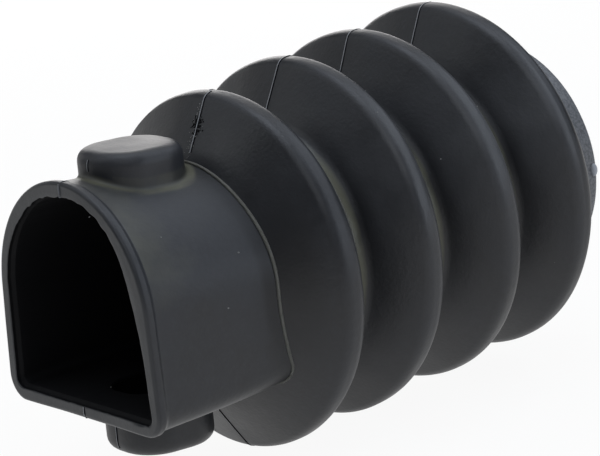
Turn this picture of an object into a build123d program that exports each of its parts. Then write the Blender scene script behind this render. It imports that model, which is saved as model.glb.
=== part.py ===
from build123d import *
import os
from math import acos, asin, atan2, cos, degrees, hypot, pi, sin, tan

# Moulded rubber bellows boot for the sliding shaft of a coupling: a D-shaped neck that slips over a
# casting, four convolutions that fold up as the shaft slides, and a round cuff for a band clamp.
# Millimetres. The bellows axis is X, the flat of the neck faces down and +Z is up. The origin is on
# the axis in the end face of the cuff, so the boot reaches from there towards -X.

# Bellows
fold_count = 4
fold_pitch = 35.2
crest_radius = 61.0
valley_radius = 42.0
crest_land = 1.4  # flat band left on top of each crest between its two rounded shoulders
crest_round = 4.2
valley_round = 5.4
bellows_wall = 3.0

# Round cuff
cuff_radius = 41.0
cuff_bore_radius = 37.5
cuff_reach = 28.0  # from the middle of the last crest to the end face
cuff_round = 4.0
cuff_edge_round = 1.0

# D-shaped neck: outer sizes at the mouth, and where the neck ends in the plane of the first crest
neck_reach = 64.0  # from the mouth to the middle of the first crest
neck_wall = 4.2
mouth_arch_radius = 40.3
mouth_arch_height = 2.0  # centre of the arch above the bellows axis
mouth_floor_depth = 34.4  # flat floor below the bellows axis
mouth_floor_width = 83.2
root_arch_radius = 39.6
root_arch_height = 0.0
root_floor_depth = 31.2
root_floor_width = 81.8
neck_corner_round = 7.0
neck_root_round = 3.0

# Bead round the mouth, the same height inside and out, and shorter inside
bead_height = 0.9
outer_bead_length = 3.0
outer_slope_length = 1.4
inner_bead_length = 1.4
inner_slope_length = 1.2
mouth_edge_round = 1.2

# Hollow lugs above and below the neck that clear the bolt heads of the casting
lug_length = 33.5
lug_width = 30.5
lug_end_flat = 3.5  # straight stretch across each end, between the rounded corners
lug_reach = 50.3  # from the bellows axis to the top face of a lug
lug_setback = 28.2  # from the mouth to the middle of a lug
lug_wall = 3.5
lug_edge_round = 4.3
lug_pocket_edge_round = 1.2
lug_base_round = 2.0

cut_overrun = 2.0  # how far a cavity runs out past an open end

# Places along the axis
crest_x = [-cuff_reach - fold_pitch * (fold_count - 1 - fold) for fold in range(fold_count)]
mouth_x = crest_x[0] - neck_reach
lug_x = mouth_x + lug_setback

# A flank is the straight line that touches the round of a crest and the round of the next valley
round_run = (fold_pitch - crest_land) / 2
round_rise = (crest_radius - crest_round) - (valley_radius + valley_round)
flank_lean = atan2(round_run, round_rise) - asin((crest_round + valley_round) / hypot(round_run, round_rise))
shoulder_slope = tan((pi / 2 - flank_lean) / 2)  # corner to tangent point of a shoulder, per unit of radius
crest_half = crest_land / 2 + crest_round * shoulder_slope
hub_radius = root_floor_depth / 2  # the first flank runs in behind the neck to this radius


def flank_run(high, low):
    """Axial length of a flank between two radii."""
    return (high - low) * tan(flank_lean)


def meridian(inset, end_radius, end_x):
    """Half section of the bellows, moved inwards by the inset, as a face to be turned round X."""
    high, hub = crest_radius - inset, hub_radius - inset
    half = crest_half - inset * shoulder_slope
    valley_corner = valley_radius + valley_round - (valley_round + inset) / sin(flank_lean)
    points = [(crest_x[0] - half - flank_run(high, hub), hub)]
    rounds = []
    for place in crest_x:
        points += [(place - half, high), (place + half, high), (place + fold_pitch / 2, valley_corner)]
        rounds += [crest_round - inset, crest_round - inset, valley_round + inset]
    points[-1] = (crest_x[-1] + half + flank_run(high, end_radius), end_radius)
    rounds[-1] = cuff_round + inset
    points += [(end_x, end_radius)]
    with BuildSketch(Plane.XZ) as section:
        with BuildLine():
            FilletPolyline(*points, radius=rounds)
            Polyline(points[-1], (end_x, 0), (points[0][0], 0), points[0])
        make_face()
    return section.sketch


def between(start, end, share):
    return start + (end - start) * share


def neck_section(x, grow):
    """The D-shaped section of the neck in the plane at x, grown outwards; its sides touch its arch."""
    share = (x - mouth_x) / neck_reach
    arch = between(mouth_arch_radius, root_arch_radius, share) + grow
    height = between(mouth_arch_height, root_arch_height, share)
    depth = between(mouth_floor_depth, root_floor_depth, share) + grow
    half = between(mouth_floor_width, root_floor_width, share) / 2 + grow
    touch = acos(arch / hypot(half, depth + height)) - atan2(depth + height, half)
    side_top = (arch * cos(touch), height + arch * sin(touch))
    with BuildSketch(Plane.YZ.offset(x)) as section:
        with BuildLine():
            CenterArc((0, height), arch, degrees(touch), 180 - 2 * degrees(touch))
            Polyline((-side_top[0], side_top[1]), (-half, -depth), (half, -depth), side_top)
        make_face()
        fillet(section.vertices().group_by(Axis.Y)[0], radius=neck_corner_round + grow)
    return section.sketch


def neck_sections(start_x, grow, bead_length, slope_length):
    """Sections of the tapered neck with its bead, from start_x to the plane of the first crest."""
    return [
        neck_section(start_x, grow + bead_height),
        neck_section(mouth_x + bead_length, grow + bead_height),
        neck_section(mouth_x + bead_length + slope_length, grow),
        neck_section(crest_x[0], grow),
    ]


def lug_pair(inset, edge_round):
    """The forms of the upper and lower lug, from the axis out, moved inwards by the inset."""
    corner_round = (lug_width - lug_end_flat) / 2 - inset
    with BuildPart() as forms:
        with BuildSketch(Plane.XY):
            with Locations((lug_x, 0)):
                RectangleRounded(lug_length - 2 * inset, lug_width - 2 * inset, corner_round)
        extrude(amount=lug_reach - inset)
        fillet(forms.faces().sort_by(Axis.Z)[-1].edges(), radius=edge_round)
        mirror(about=Plane.XY)
    return forms.part


with BuildPart() as cavity:
    revolve(meridian(bellows_wall, cuff_bore_radius, cut_overrun), axis=Axis.X)
    loft(neck_sections(mouth_x - cut_overrun, -neck_wall, inner_bead_length, inner_slope_length), ruled=True)
    add(lug_pair(lug_wall, lug_pocket_edge_round))

with BuildPart() as bellows_boot:
    revolve(meridian(0, cuff_radius, 0), axis=Axis.X)
    loft(neck_sections(mouth_x, 0, outer_bead_length, outer_slope_length), ruled=True)
    fillet(bellows_boot.edges(Select.NEW), radius=neck_root_round)
    add(lug_pair(0, lug_edge_round))
    fillet(bellows_boot.edges(Select.NEW), radius=lug_base_round)
    end_faces = bellows_boot.faces().sort_by(Axis.X)
    fillet(end_faces[0].edges(), radius=mouth_edge_round)
    fillet(end_faces[-1].edges(), radius=cuff_edge_round)
    add(cavity.part, mode=Mode.SUBTRACT)

bellows_boot.part.label = "rubber bellows boot"

os.makedirs("parts", exist_ok=True)
export_step(bellows_boot.part, "parts/bellows_boot.step")
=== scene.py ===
from math import acos, asin, atan2, cos, hypot, pi, radians, sin, tan

import bmesh
import bpy
import numpy as np
from bpy.props import FloatProperty, FloatVectorProperty, IntProperty, PointerProperty
from mathutils import Matrix, Vector, noise
from mathutils.bvhtree import BVHTree


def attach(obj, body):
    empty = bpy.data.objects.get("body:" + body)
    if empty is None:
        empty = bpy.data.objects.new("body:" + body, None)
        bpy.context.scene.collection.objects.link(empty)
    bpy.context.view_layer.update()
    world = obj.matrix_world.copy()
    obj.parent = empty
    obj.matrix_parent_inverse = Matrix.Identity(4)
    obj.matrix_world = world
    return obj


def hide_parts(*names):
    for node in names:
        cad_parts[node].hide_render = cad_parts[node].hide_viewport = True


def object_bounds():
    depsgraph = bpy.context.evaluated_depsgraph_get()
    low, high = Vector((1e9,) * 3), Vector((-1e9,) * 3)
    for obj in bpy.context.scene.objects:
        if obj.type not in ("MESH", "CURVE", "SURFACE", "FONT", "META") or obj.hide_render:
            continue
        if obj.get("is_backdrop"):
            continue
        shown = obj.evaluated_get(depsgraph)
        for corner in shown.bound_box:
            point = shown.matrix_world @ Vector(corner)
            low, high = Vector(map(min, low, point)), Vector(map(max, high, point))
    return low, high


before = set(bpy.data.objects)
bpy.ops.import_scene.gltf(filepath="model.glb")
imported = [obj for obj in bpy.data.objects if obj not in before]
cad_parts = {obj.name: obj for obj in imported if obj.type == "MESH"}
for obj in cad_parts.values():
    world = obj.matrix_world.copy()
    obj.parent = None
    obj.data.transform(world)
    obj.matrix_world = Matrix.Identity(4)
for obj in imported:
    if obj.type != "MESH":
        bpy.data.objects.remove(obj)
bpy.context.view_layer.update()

bl_info = {
    "name": "Rubber bellows boot",
    "version": (1, 0, 0),
    "blender": (4, 5, 0),
    "location": "3D View > Sidebar > Bellows Boot",
    "description": "Moulded rubber bellows boot with a D-shaped neck, hollow lugs, folds and a round cuff",
    "category": "Object",
}

BODY = "root"
NODE = "bellows_boot"


# ---- Sizes and finish that a user would change ----

def length(name, default, description):
    return FloatProperty(name=name, description=description, default=default, unit="LENGTH", precision=5)


def lengths(name, default, description):
    return FloatVectorProperty(name=name, description=description, default=default, size=len(default),
                               unit="LENGTH", precision=5)


def shift(name, default, description):
    return FloatVectorProperty(name=name, description=description, default=default, size=3,
                               subtype="TRANSLATION", unit="LENGTH", precision=5)


def angle_of(name, degrees, description):
    return FloatProperty(name=name, description=description, default=radians(degrees), subtype="ANGLE")


def angles_of(name, degrees, description):
    return FloatVectorProperty(name=name, description=description, size=len(degrees), subtype="EULER",
                               default=[radians(angle) for angle in degrees])


def fraction(name, default, description):
    return FloatProperty(name=name, description=description, default=default, min=0.0, max=1.0)


def colour(name, default, description):
    return FloatVectorProperty(name=name, description=description, default=default, size=3,
                               subtype="COLOR", min=0.0, max=1.0)


class BootSizes(bpy.types.PropertyGroup):
    """Sizes of the moulded boot, the same as in its solid"""

    fold_count: IntProperty(name="Folds", description="Number of convolutions", default=4, min=2, max=9)
    fold_pitch: length("Fold pitch", 0.0352, "Distance from crest to crest")
    crest_radius: length("Crest radius", 0.061, "Outer radius of the folds")
    valley_radius: length("Valley radius", 0.042, "Outer radius at the bottom of a valley")
    crest_land: length("Crest land", 0.0014, "Flat band on top of a crest")
    crest_round: length("Crest round", 0.0042, "Radius of the shoulders of a crest")
    valley_round: length("Valley round", 0.0054, "Radius of the bottom of a valley")
    bellows_wall: length("Fold wall", 0.003, "Wall of the folds")
    cuff_radius: length("Cuff radius", 0.041, "Outer radius of the round cuff")
    cuff_bore_radius: length("Cuff bore", 0.0375, "Radius of the bore of the cuff")
    cuff_reach: length("Cuff reach", 0.028, "From the middle of the last crest to the end face")
    cuff_round: length("Cuff round", 0.004, "Radius where the last fold meets the cuff")
    cuff_edge_round: length("Cuff edge", 0.001, "Radius of the cuff's outer edge")
    neck_reach: length("Neck reach", 0.064, "From the mouth to the middle of the first crest")
    neck_wall: length("Neck wall", 0.0042, "Wall of the D-shaped neck")
    mouth_arch_radius: length("Mouth arch", 0.0403, "Outer radius of the arch at the mouth")
    mouth_arch_height: length("Mouth arch height", 0.002, "Centre of the mouth's arch above the axis")
    mouth_floor_depth: length("Mouth floor depth", 0.0344, "Flat floor below the axis at the mouth")
    mouth_floor_width: length("Mouth floor width", 0.0832, "Width of the floor at the mouth")
    root_arch_radius: length("Root arch", 0.0396, "Outer radius of the arch in the first crest's plane")
    root_arch_height: length("Root arch height", 0.0, "Centre of that arch above the axis")
    root_floor_depth: length("Root floor depth", 0.0312, "Flat floor below the axis in that plane")
    root_floor_width: length("Root floor width", 0.0818, "Width of the floor in that plane")
    neck_corner_round: length("Neck corner", 0.007, "Radius of the two lower corners of the neck")
    neck_root_round: length("Neck root", 0.0016, "Radius where the neck meets the first fold")
    bead_height: length("Bead height", 0.0009, "Height of the bead round the mouth, inside and out")
    outer_bead_length: length("Outer bead length", 0.003, "Length of the bead along the outside of the neck")
    outer_slope_length: length("Outer bead slope", 0.0014, "Length of the slope behind the outer bead")
    inner_bead_length: length("Inner bead length", 0.0014, "Length of the bead along the inside of the neck")
    inner_slope_length: length("Inner bead slope", 0.0012, "Length of the slope behind the inner bead")
    mouth_edge_round: length("Mouth edge", 0.0012, "Radius of the outer edge of the lip")
    lug_length: length("Lug length", 0.0335, "Length of a hollow lug along the neck")
    lug_width: length("Lug width", 0.0305, "Width of a hollow lug")
    lug_end_flat: length("Lug end flat", 0.0035, "Straight stretch across each end of a lug")
    lug_reach: length("Lug reach", 0.0503, "From the axis to the top face of a lug")
    lug_setback: length("Lug setback", 0.0282, "From the mouth to the middle of a lug")
    lug_wall: length("Lug wall", 0.0035, "Wall of a lug")
    lug_edge_round: length("Lug edge", 0.0043, "Radius round the top face of a lug")
    lug_pocket_edge_round: length("Pocket edge", 0.0012, "Radius at the end of a lug's pocket")
    lug_base_round: length("Lug base", 0.0016, "Radius where a lug meets the neck")


class BootWear(bpy.types.PropertyGroup):
    """How the soft boot lies, how its mouth was trimmed, and what clings to it"""

    neck_turn: angles_of("Neck turn", (2.7, 2.4, -3.4), "Turn of the neck")
    front_folds_turn: angles_of("Front folds turn", (-0.6, 2.2, 0.8), "Turn of the front half of the folds")
    rear_folds_turn: angles_of("Rear folds turn", (-0.6, -0.8, 1.8), "Turn of the rear half of the folds")
    mouth_shift: shift("Mouth shift", (0.0, 0.0019, 0.0009), "How far the mouth lies off the axis")
    first_fold_shift: shift("First fold shift", (0.0, -0.0017, -0.0023), "How far the first fold lies off")
    second_fold_shift: shift("Second fold shift", (0.0, -0.0011, -0.0006), "How far the second fold lies off")
    third_fold_shift: shift("Last but one shift", (0.0, -0.0003, 0.0007), "How far the last fold but one lies off")
    last_fold_shift: shift("Last fold shift", (0.0, 0.0011, 0.0017), "How far the last fold lies off")
    cuff_shift: shift("Cuff shift", (0.0, 0.0023, 0.0015), "How far the end of the cuff lies off")
    first_fold_shrink: length("First fold shrink", 0.001, "How much smaller the first fold came out")
    swell_angles: angles_of("Swell places", (78, 128), "Where the neck's root bows out, on both sides of the top")
    swell_spans: angles_of("Swell spans", (33, 13), "How far round the neck each such bow spreads")
    swell_amounts: lengths("Swell amounts", (0.0028, -0.0022), "How far the neck bows out there")
    ripple: length("Ripple", 0.00022, "Unevenness of the moulded skin")
    thick_angles: angles_of("Thick places", (6, 38, -72, -132), "Where round the mouth its lip came out thicker")
    thick_spans: angles_of("Thick spans", (11, 22, 25, 9), "How far round the mouth each such place spreads")
    thick_amounts: lengths("Thick amounts", (0.0012, 0.0010, 0.0027, -0.0006),
                           "How much thicker the lip is at each such place")
    torn_at: angle_of("Torn at", 8, "Where round the mouth the knife tore most")
    torn_span: angle_of("Torn span", 38, "How far round the mouth the tearing spreads")
    ragged: length("Ragged trim", 0.0010, "How ragged the knife left the inner edge of the lip")
    residue_reach: length("Residue reach", 0.0014, "How far mould residue climbs out of a valley")
    seam_width: length("Seam width", 0.0008, "Width of the raised parting seam")
    root_flash_width: length("Root flash width", 0.0011, "Width of the flash round the neck's root")
    speck_size: length("Speck size", 0.00045, "Usual size of a dust speck")
    speck_count: IntProperty(name="Specks", description="Specks in each square decimetre", default=2, min=0)
    seam_offset: lengths("Seam offset", (0.0023, 0.0034), "How far aside the first fold's seam lies, top and root")
    scar_radius: length("Scar radius", 0.051, "How far from the axis the scar on the first fold lies")
    scar_size: length("Scar size", 0.0013, "Size of the scar")
    scar_pits: IntProperty(name="Scar pits", description="Pits in each square metre of the scar", default=20000000)
    pit_size: length("Pit size", 0.0006, "Usual size of a pit")
    seed: IntProperty(name="Seed", description="Seed of everything scattered", default=7, min=0)


class BootFinish(bpy.types.PropertyGroup):
    """Colours of the rubber and of what clings to it; some of them stand for painted shade and painted highlights
    """

    rubber: colour("Rubber", (0.012, 0.0128, 0.0155), "Moulded black rubber")
    bloom: colour("Rubber bloom", (0.032, 0.034, 0.040), "Greyer patches where the rubber has bloomed")
    # painted shade: a darker colour low on the middle of the flanks, where the neck and the folds shade them
    shadow: colour("Dark rubber", (0.008, 0.0085, 0.0105), "Rubber that never bloomed, low on the flanks")
    olive: colour("Olive residue", (0.105, 0.103, 0.068), "Mould residue in the valleys and corners")
    cuff: colour("Cuff", (0.135, 0.138, 0.146), "Stippled, unpolished rubber of the cuff")
    # dust with a painted highlight: a paler colour on the upper flanks of the rear folds, standing partly for a
    # soft highlight there
    highlight_film: colour("Dust film", (0.095, 0.097, 0.102), "Fine dust on the upper flanks")
    cut: colour("Cut rubber", (0.030, 0.032, 0.036), "Trimmed face of the lip")
    # the flash's pale colour is partly a painted highlight, standing for the light that the raised seam catches
    flash: colour("Flash", (0.33, 0.34, 0.36), "Thin flash along the seam")
    root_flash: colour("Root flash", (0.26, 0.255, 0.225), "Thin flash round the neck's root")
    # painted shade: the dark line beside the seam stands for the shadow of its step, and the dark pit grains for
    # the shade in the pits
    painted_shade: colour("Painted_Shade", (0.006, 0.006, 0.007), "Dark nicks and pits")
    # painted shade: the inside is the same rubber, darkened to near black where the cavity lies in shade
    inside: colour("Inside", (0.003, 0.003, 0.004), "Inside of the boot")
    dust: colour("Dust", (0.22, 0.22, 0.21), "Dust specks")
    roughness: fraction("Roughness", 0.43, "Roughness of the moulded skin")


# ---- Lines and outlines of the boot, in the same frame as the solid ----

COLUMNS = 240  # columns of faces round the axis
CORNER_DENSITY = 1.6  # how much closer they stand at the corners of the neck's floor
CORNER_SPAN = radians(11)  # and how far round that reaches
LUG_SPREAD = radians(33)  # half angle of the stretch of neck that carries a lug
WELD = 2e-6  # points nearer to each other than this are joined
TINY = 1e-12  # keeps a root or a division from going astray
ARC_GATHER = 0.3  # how far the points of a straight run gather towards its ends
OUTER_ARCS, OUTER_RUNS = [4, 3, 3, 6, 8], [1, 3, 2, 20, 7, 1]  # steps of the neck's line, outside
INNER_ARCS, INNER_RUNS = [3, 2, 2, 3, 4], [1, 3, 2, 18, 6, 1]  # and inside
CUFF_ARCS, CUFF_RUNS = [8, 8, 4, 2, 7, 4], [1, 6, 6, 3, 5, 5, 1]  # steps of the cuff's line
OUTER_FOLD, INNER_FOLD = ([8, 12, 8], [1, 6, 6, 1]), ([4, 8, 4], [1, 5, 5, 1])  # and of a fold's lines
ANGLE_SAMPLES = 1801  # of half a turn, from which the columns are chosen
CROWN_POINTS = 90  # points of the neck's outline, on half its arch,
SIDE_ARCS, SIDE_RUNS = [24], [30, 40]  # and down its side and along its floor
PLAN_ARCS, PLAN_RUNS = [90] * 4, [30] * 5  # steps of a lug's plan
OUTER_FACE = 1.2  # width of the cut face in the outer line, in radii of the mouth's edge
INNER_FACE = 0.0006  # and in the inner line, in metres
TRIM_ROWS = 4  # rows at each edge of the lip that were cut
LIP_SHARES = (0.25, 0.5, 0.75)  # rows of the cut face between its edges
SHARP = 0.0003  # radius of an edge that was left sharp
BEAD_CREASES = (0.0012, 0.002)  # radii at the end of the outer bead and at the foot of its slope
INNER_ROOT_ROUND = 0.001  # radius inside the boot where the neck meets the first fold
POCKET_BASE_ROUND = 0.0008  # and where a lug's pocket leaves the neck
THICK_AT_BEAD, THICK_AT_NECK = 0.85, 0.4  # shares of the lip's thickening left behind the bead and its slope
RAG_WAVES = ((1.0, 9, 0), (0.7, 20, 5))  # of the ragged trim: share, fineness and a step of the seed
LEAST_TORN = 0.15  # share of the raggedness that is left far from where it tore
TOUCH_TRIES = 17  # places tried for where the round at a lug's foot touches the neck
GROUND_TRIES = 6  # rounds in which the angle of a place in plan is worked out
APRON_SHARES = (0.3, 0.56, 0.8, 1.0)  # rings of a lug: on the neck up to its foot,
FOOT_SHARES = (0.25, 0.5, 0.75, 1.0)  # round its foot,
WALL_SHARES = (0.35, 0.7, 1.0)  # and up its wall
EDGE_STEPS = 6  # rings round the edge of its top face
TOP_RIM = 0.0008  # width of the last ring, on the top face itself


def near(value, middle, span):
    """1 where a value is at the middle, falling off smoothly over the span."""
    return np.exp(-(((value - middle) / span) ** 2))


def ramp(value, low, high):
    """0 up to the low value, 1 from the high one on, and straight in between."""
    return np.clip((value - low) / (high - low), 0, 1)


def mixed(start, end, share):
    return start + (end - start) * share


def off_from(angles, middle):
    """Angles measured from a middle one, between minus and plus half a turn."""
    return (angles - middle + pi) % (2 * pi) - pi


def bulges(angles, places, spans, amounts):
    """Smooth bulges round the axis, each with a place, a span and an amount, added up."""
    return sum(amount * near(off_from(angles, place), 0, span)
               for place, span, amount in zip(places, spans, amounts))


class Layout:
    """Places along the axis and slopes that follow from the sizes."""

    def __init__(self, sizes):
        self.first_crest = -sizes.cuff_reach - sizes.fold_pitch * (sizes.fold_count - 1)
        self.last_crest = -sizes.cuff_reach
        self.mouth = self.first_crest - sizes.neck_reach
        self.bead_end = [self.mouth + sizes.outer_bead_length, self.mouth + sizes.inner_bead_length]
        self.neck_start = [self.bead_end[0] + sizes.outer_slope_length,
                           self.bead_end[1] + sizes.inner_slope_length]
        self.lug = self.mouth + sizes.lug_setback
        run = (sizes.fold_pitch - sizes.crest_land) / 2
        rise = (sizes.crest_radius - sizes.crest_round) - (sizes.valley_radius + sizes.valley_round)
        self.lean = atan2(run, rise) - asin((sizes.crest_round + sizes.valley_round) / hypot(run, rise))
        self.shoulder = tan((pi / 2 - self.lean) / 2)

    def crest_half(self, sizes, inset):
        return sizes.crest_land / 2 + (sizes.crest_round - inset) * self.shoulder


def rounded_line(corners, rounds, arc_steps, run_steps):
    """Points along straight runs joined by arcs: the same number whatever the sizes, so lines match."""
    corners = [np.array(corner, float) for corner in corners]
    points = [corners[0]]
    for index in range(1, len(corners)):
        corner, start = corners[index], points[-1]
        ahead = (corner - corners[index - 1]) / np.linalg.norm(corner - corners[index - 1])
        end, bend = corner, 0.0
        if index < len(corners) - 1:
            after = (corners[index + 1] - corner) / np.linalg.norm(corners[index + 1] - corner)
            bend = atan2(ahead[0] * after[1] - ahead[1] * after[0], ahead @ after)
            end = corner - ahead * rounds[index - 1] * tan(abs(bend) / 2)
        for step in range(1, run_steps[index - 1] + 1):
            share = step / run_steps[index - 1]
            share += ARC_GATHER * ((1 - cos(pi * share)) / 2 - share)
            points.append(start + (end - start) * share)
        if index < len(corners) - 1:
            side = np.array([-ahead[1], ahead[0]]) * (1 if bend > 0 else -1)
            for step in range(1, arc_steps[index - 1] + 1):
                angle = abs(bend) * step / arc_steps[index - 1]
                points.append(end + rounds[index - 1] * (ahead * sin(angle) + side * (1 - cos(angle))))
    return np.array(points)


def column_angles(corner_angle):
    """Angles round the axis, from straight up towards +Y, closer together at the floor's corners."""
    fine = np.linspace(0, pi, ANGLE_SAMPLES)
    density = 1 + CORNER_DENSITY * near(fine, corner_angle, CORNER_SPAN)
    total = np.concatenate([[0], np.cumsum((density[1:] + density[:-1]) / 2)])
    half = np.interp(np.linspace(0, total[-1], COLUMNS // 2 + 1), total, fine)
    half[0], half[-1] = 0, pi
    return np.concatenate([half, 2 * pi - half[-2:0:-1]])


def folded(angles):
    """Angles from straight up, the same on both sides."""
    return np.minimum(angles, 2 * pi - angles)


def neck_radii(sizes, layout, x, grow, angles):
    """Distance of the D-shaped neck's surface from the axis at each angle, in the plane at x."""
    share = (x - layout.mouth) / sizes.neck_reach
    arch = mixed(sizes.mouth_arch_radius, sizes.root_arch_radius, share) + grow
    height = mixed(sizes.mouth_arch_height, sizes.root_arch_height, share)
    depth = mixed(sizes.mouth_floor_depth, sizes.root_floor_depth, share) + grow
    half = mixed(sizes.mouth_floor_width, sizes.root_floor_width, share) / 2 + grow
    touch = acos(arch / hypot(half, depth + height)) - atan2(depth + height, half)
    crown = [(arch * sin(a), height + arch * cos(a)) for a in np.linspace(0, pi / 2 - touch, CROWN_POINTS)]
    side = rounded_line([crown[-1], (half, -depth), (0, -depth)], [sizes.neck_corner_round + grow],
                        SIDE_ARCS, SIDE_RUNS)
    outline = np.vstack([crown[:-1], side])
    around = np.arctan2(outline[:, 0], outline[:, 1])
    return np.interp(folded(angles), around, np.hypot(outline[:, 0], outline[:, 1]))


def front_column(sizes, layout, radii, inset, thicker):
    """One column of the neck and the front of the first fold, from the lip to the top of the crest."""
    lip, bead, neck, crest_plane = radii
    outer = inset == 0
    bead_end, neck_start = (places[0 if outer else 1] for places in (layout.bead_end, layout.neck_start))
    high = sizes.crest_radius - inset
    corner = (layout.first_crest - layout.crest_half(sizes, inset), high)
    slope = (crest_plane - neck) / (layout.first_crest - neck_start)
    climb = 1 / tan(layout.lean)
    root_x = (neck - slope * neck_start - high + climb * corner[0]) / (climb - slope)
    root = (root_x, neck + slope * (root_x - neck_start))
    corners = [
        (layout.mouth, lip - sizes.mouth_edge_round * OUTER_FACE if outer else lip + INNER_FACE),
        (layout.mouth, lip - thicker),
        (bead_end, bead - thicker * THICK_AT_BEAD),
        (neck_start, neck - thicker * THICK_AT_NECK),
        root,
        corner,
        (layout.first_crest, high),
    ]
    rounds = [sizes.mouth_edge_round, *BEAD_CREASES, sizes.neck_root_round] if outer else [
        SHARP, SHARP, SHARP, INNER_ROOT_ROUND]
    return rounded_line(corners, [*rounds, sizes.crest_round - inset], OUTER_ARCS if outer else INNER_ARCS,
                        OUTER_RUNS if outer else INNER_RUNS)


def lip_thickening(wear, angles):
    """How much thicker the lip is at each angle round the mouth, with the ragged trim of its inner edge."""
    total = bulges(angles, wear.thick_angles, wear.thick_spans, wear.thick_amounts)
    torn = LEAST_TORN + (1 - LEAST_TORN) * near(off_from(angles, 0), wear.torn_at, wear.torn_span)
    rag = sum(share * np.array([noise.noise(Vector((fine * cos(a), fine * sin(a), wear.seed + step)))
                                for a in angles]) for share, fine, step in RAG_WAVES)
    return total + wear.ragged * torn * rag


def neck_swelling(wear, angles):
    """How far the sides of the neck bow out at its root, at each angle."""
    return bulges(folded(angles), wear.swell_angles, wear.swell_spans, wear.swell_amounts)


def fold_line(sizes, layout, inset):
    """Half section of one fold space, from the top of a crest down its valley and up to the next."""
    high = sizes.crest_radius - inset
    half = layout.crest_half(sizes, inset)
    valley = sizes.valley_radius + sizes.valley_round - (sizes.valley_round + inset) / sin(layout.lean)
    corners = [(0, high), (half, high), (sizes.fold_pitch / 2, valley), (sizes.fold_pitch - half, high),
               (sizes.fold_pitch, high)]
    crest = sizes.crest_round - inset
    steps = OUTER_FOLD if inset == 0 else INNER_FOLD
    return rounded_line(corners, [crest, sizes.valley_round + inset, crest], *steps)


def cuff_line(sizes, layout):
    """Section from the top of the last crest, over the cuff and through its bore, to the crest inside."""
    wall, last = sizes.bellows_wall, layout.last_crest
    high, high_in = sizes.crest_radius, sizes.crest_radius - wall
    half, half_in = layout.crest_half(sizes, 0), layout.crest_half(sizes, wall)
    slope = tan(layout.lean)
    corners = [
        (last, high),
        (last + half, high),
        (last + half + (high - sizes.cuff_radius) * slope, sizes.cuff_radius),
        (0, sizes.cuff_radius),
        (0, sizes.cuff_bore_radius),
        (last + half_in + (high_in - sizes.cuff_bore_radius) * slope, sizes.cuff_bore_radius),
        (last + half_in, high_in),
        (last, high_in),
    ]
    rounds = [sizes.crest_round, sizes.cuff_round, sizes.cuff_edge_round, SHARP, sizes.cuff_round + wall,
              sizes.crest_round - wall]
    return rounded_line(corners, rounds, CUFF_ARCS, CUFF_RUNS)


# ---- The skin: rows and columns of faces that are welded into one closed wall ----

class Skin:
    """Points, faces and marks of a mesh that is put together from several strips."""

    MARKS = ("inside", "cut", "root")

    def __init__(self):
        self.points, self.faces = [], []
        self.marks = {name: [] for name in self.MARKS}

    def add_points(self, points, **marks):
        start = len(self.points)
        self.points.extend([tuple(point) for point in points])
        for name in self.MARKS:
            self.marks[name].extend([marks.get(name, 0.0)] * len(points))
        return np.arange(start, len(self.points))

    def add_grid(self, points, **marks):
        """Adds rows of points that close round the axis, and returns their numbers."""
        rows, columns = points.shape[:2]
        return self.add_points(points.reshape(-1, 3), **marks).reshape(rows, columns)

    def set_mark(self, name, numbers, value=1.0):
        for number in numbers:
            self.marks[name][number] = value

    def face_grid(self, numbers, closed, skip=None):
        rows, columns = numbers.shape
        for row in range(rows - 1):
            for column in range(columns if closed else columns - 1):
                if skip is not None and skip[row, column]:
                    continue
                after = (column + 1) % columns
                self.faces.append((numbers[row, column], numbers[row, after],
                                   numbers[row + 1, after], numbers[row + 1, column]))

    def add_mesh(self, mesh):
        start = len(self.points)
        self.points.extend([tuple(vertex.co) for vertex in mesh.vertices])
        for name in self.MARKS:
            self.marks[name].extend(read_mark(mesh, name))
        for polygon in mesh.polygons:
            self.faces.append(tuple(start + number for number in polygon.vertices))

    def to_mesh(self, name):
        mesh = bpy.data.meshes.new(name)
        mesh.from_pydata(self.points, [], self.faces)
        for mark, values in self.marks.items():
            write_mark(mesh, mark, values)
        return mesh


def write_mark(mesh, name, values):
    mark = mesh.attributes.get(name) or mesh.attributes.new(name, "FLOAT", "POINT")
    mark.data.foreach_set("value", np.array(values, np.float32))


def read_mark(mesh, name):
    values = np.zeros(len(mesh.vertices), np.float32)
    mesh.attributes[name].data.foreach_get("value", values)
    return values.tolist()


def turned(line, angles):
    """Rows of points from a half section turned round the axis."""
    x = np.repeat(line[:, 0:1], len(angles), axis=1)
    return np.stack([x, line[:, 1:2] * np.sin(angles), line[:, 1:2] * np.cos(angles)], axis=2)


class Ground:
    """The curved surface that a lug stands on, read from its rows and columns of points."""

    def __init__(self, grid, angles, first_row):
        self.x = grid[first_row:, :, 0]
        self.radius = np.hypot(grid[first_row:, :, 1], grid[first_row:, :, 2])
        self.angles = angles

    def radius_at(self, x, angle):
        angle = angle % (2 * pi)
        left = int(np.searchsorted(self.angles, angle, side="right")) - 1
        right = (left + 1) % len(self.angles)
        span = (self.angles[right] - self.angles[left]) % (2 * pi)
        share = (angle - self.angles[left]) / span
        before, beyond = (np.interp(x, self.x[:, column], self.radius[:, column]) for column in (left, right))
        return mixed(before, beyond, share)

    def point_at(self, x, y, side):
        """The point of the surface over a place in plan, on the upper or the lower side."""
        angle = 0.0 if side > 0 else pi
        for _ in range(GROUND_TRIES):
            radius = self.radius_at(x, angle)
            z = side * (max(radius ** 2 - y ** 2, TINY)) ** 0.5
            angle = atan2(y, z)
        return np.array([x, y, z])


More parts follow.
